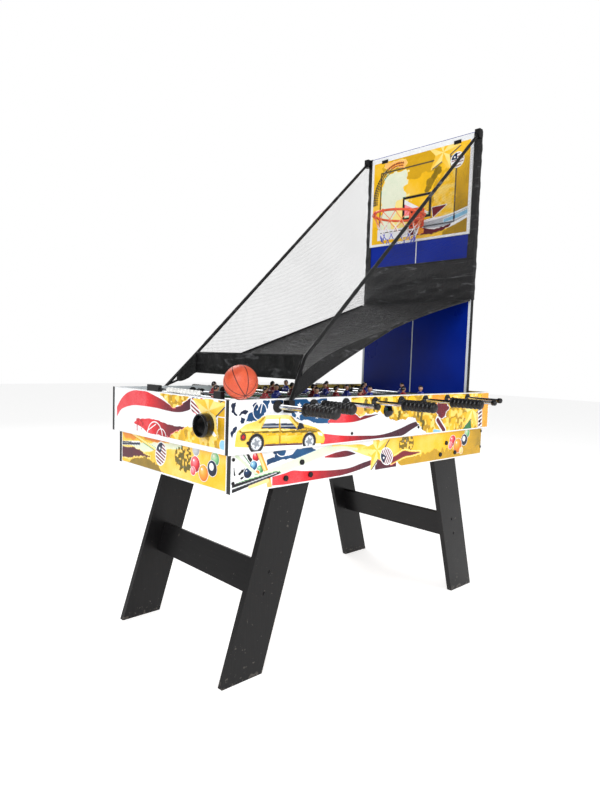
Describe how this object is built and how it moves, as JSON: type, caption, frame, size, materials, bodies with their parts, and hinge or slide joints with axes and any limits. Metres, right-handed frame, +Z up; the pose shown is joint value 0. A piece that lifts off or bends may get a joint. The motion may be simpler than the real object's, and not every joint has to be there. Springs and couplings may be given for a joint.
{
  "type": "multi-game table",
  "caption": "Family games table: rod-football cabinet on splayed legs, with a standing board that carries a basketball hoop, net sides and a cloth ball return.",
  "frame": {"origin": "on the floor under the middle of the table", "axes": "+X along the table towards the standing board, +Y across it to the rear side, +Z up"},
  "size_m": [1.272, 1.03, 1.686],
  "materials": {
    "printed_panel": "full-colour printed laminate on particle board, black edge strips",
    "black_laminate": "black satin laminate on particle board",
    "black_steel": "black oxide bolts and screws",
    "green_board": "green printed board with white pitch lines",
    "bare_timber": "planed softwood",
    "white_board": "white laminate on board",
    "black_plastic": "moulded black plastic",
    "blue_board": "blue painted board with white lines and black edges",
    "printed_backboard": "printed board with a white border",
    "orange_steel": "orange powder coat on steel",
    "net_cord": "braided nylon cord",
    "black_tube": "black coated steel tube",
    "black_nylon": "black woven nylon",
    "black_mesh": "fine black mesh with black binding",
    "white_bead": "moulded white plastic",
    "orange_rubber": "pebbled orange rubber with black seams",
    "chromed_tube": "chromed steel tube",
    "red_player": "moulded plastic, red shirt",
    "blue_player": "moulded plastic, blue shirt",
    "black_grip": "ribbed black grip",
    "black_rubber": "black rubber bumper"
  },
  "bodies": {
    "cabinet": {"apron_side_front": "printed_panel", "apron_side_rear": "printed_panel", "apron_end_near": "printed_panel", "apron_end_far": "printed_panel", "legs": "black_laminate", "leg_stretchers": "black_laminate", "fasteners": "black_steel", "cabinet_side_front": "printed_panel", "cabinet_side_rear": "printed_panel", "cabinet_end_near": "printed_panel", "cabinet_end_far": "printed_panel", "playfield": "green_board", "playfield_cleats": "bare_timber", "goal_ends": "white_board", "rod_bearings": "black_plastic", "ball_cups": "black_plastic", "scorer_frame": "black_plastic", "standing_board": "blue_board", "board_fittings": "black_plastic", "backboard": "printed_backboard", "hoop_rim": "orange_steel", "hoop_net": "net_cord", "net_poles": "black_tube", "pole_sockets": "black_plastic", "return_cloth": "black_nylon", "net_sides": "black_mesh"},
    "scorer_beads": {"scorer_beads": "white_bead"},
    "basketball": {"basketball": "orange_rubber"},
    "rod_1_carriage": {"rod_1_bumpers": "black_rubber"},
    "rod_1": {"rod_1_tube": "chromed_tube", "rod_1_players": "red_player", "rod_1_ends": "black_grip"},
    "rod_2_carriage": {"rod_2_bumpers": "black_rubber"},
    "rod_2": {"rod_2_tube": "chromed_tube", "rod_2_players": "red_player", "rod_2_ends": "black_grip"},
    "rod_3_carriage": {"rod_3_bumpers": "black_rubber"},
    "rod_3": {"rod_3_tube": "chromed_tube", "rod_3_players": "blue_player", "rod_3_ends": "black_grip"},
    "rod_4_carriage": {"rod_4_bumpers": "black_rubber"},
    "rod_4": {"rod_4_tube": "chromed_tube", "rod_4_players": "red_player", "rod_4_ends": "black_grip"},
    "rod_5_carriage": {"rod_5_bumpers": "black_rubber"},
    "rod_5": {"rod_5_tube": "chromed_tube", "rod_5_players": "blue_player", "rod_5_ends": "black_grip"},
    "rod_6_carriage": {"rod_6_bumpers": "black_rubber"},
    "rod_6": {"rod_6_tube": "chromed_tube", "rod_6_players": "red_player", "rod_6_ends": "black_grip"},
    "rod_7_carriage": {"rod_7_bumpers": "black_rubber"},
    "rod_7": {"rod_7_tube": "chromed_tube", "rod_7_players": "blue_player", "rod_7_ends": "black_grip"},
    "rod_8_carriage": {"rod_8_bumpers": "black_rubber"},
    "rod_8": {"rod_8_tube": "chromed_tube", "rod_8_players": "blue_player", "rod_8_ends": "black_grip"}
  },
  "joints": [
    {"name": "beads_slide", "type": "slide", "parent": "cabinet", "child": "scorer_beads", "axis": [0, 1, 0], "range_m": [-0.055, 0.0395]},
    {"name": "basketball_lift", "type": "slide", "parent": "cabinet", "child": "basketball", "axis": [0, 0, 1], "range_m": [0, 0.3]},
    {"name": "rod_1_slide", "type": "slide", "parent": "cabinet", "child": "rod_1_carriage", "axis": [0, 1, 0], "range_m": [-0.04, 0.1]},
    {"name": "rod_1_spin", "type": "hinge", "parent": "rod_1_carriage", "child": "rod_1", "pos_m": [-0.455, -0.03, 0.722], "axis": [0, 1, 0], "continuous": true},
    {"name": "rod_2_slide", "type": "slide", "parent": "cabinet", "child": "rod_2_carriage", "axis": [0, 1, 0], "range_m": [-0.104, 0.036]},
    {"name": "rod_2_spin", "type": "hinge", "parent": "rod_2_carriage", "child": "rod_2", "pos_m": [-0.325, 0.034, 0.722], "axis": [0, 1, 0], "continuous": true},
    {"name": "rod_3_slide", "type": "slide", "parent": "cabinet", "child": "rod_3_carriage", "axis": [0, 1, 0], "range_m": [-0.07, 0.07]},
    {"name": "rod_3_spin", "type": "hinge", "parent": "rod_3_carriage", "child": "rod_3", "pos_m": [-0.195, 0, 0.722], "axis": [0, 1, 0], "continuous": true},
    {"name": "rod_4_slide", "type": "slide", "parent": "cabinet", "child": "rod_4_carriage", "axis": [0, 1, 0], "range_m": [-0.01, 0.08]},
    {"name": "rod_4_spin", "type": "hinge", "parent": "rod_4_carriage", "child": "rod_4", "pos_m": [-0.065, -0.035, 0.722], "axis": [0, 1, 0], "continuous": true},
    {"name": "rod_5_slide", "type": "slide", "parent": "cabinet", "child": "rod_5_carriage", "axis": [0, 1, 0], "range_m": [-0.08, 0.01]},
    {"name": "rod_5_spin", "type": "hinge", "parent": "rod_5_carriage", "child": "rod_5", "pos_m": [0.065, 0.035, 0.722], "axis": [0, 1, 0], "continuous": true},
    {"name": "rod_6_slide", "type": "slide", "parent": "cabinet", "child": "rod_6_carriage", "axis": [0, 1, 0], "range_m": [-0.042, 0.098]},
    {"name": "rod_6_spin", "type": "hinge", "parent": "rod_6_carriage", "child": "rod_6", "pos_m": [0.195, -0.028, 0.722], "axis": [0, 1, 0], "continuous": true},
    {"name": "rod_7_slide", "type": "slide", "parent": "cabinet", "child": "rod_7_carriage", "axis": [0, 1, 0], "range_m": [-0.01, 0.13]},
    {"name": "rod_7_spin", "type": "hinge", "parent": "rod_7_carriage", "child": "rod_7", "pos_m": [0.325, -0.06, 0.722], "axis": [0, 1, 0], "continuous": true},
    {"name": "rod_8_slide", "type": "slide", "parent": "cabinet", "child": "rod_8_carriage", "axis": [0, 1, 0], "range_m": [-0.06, 0.08]},
    {"name": "rod_8_spin", "type": "hinge", "parent": "rod_8_carriage", "child": "rod_8", "pos_m": [0.455, -0.01, 0.722], "axis": [0, 1, 0], "continuous": true}
  ]
}
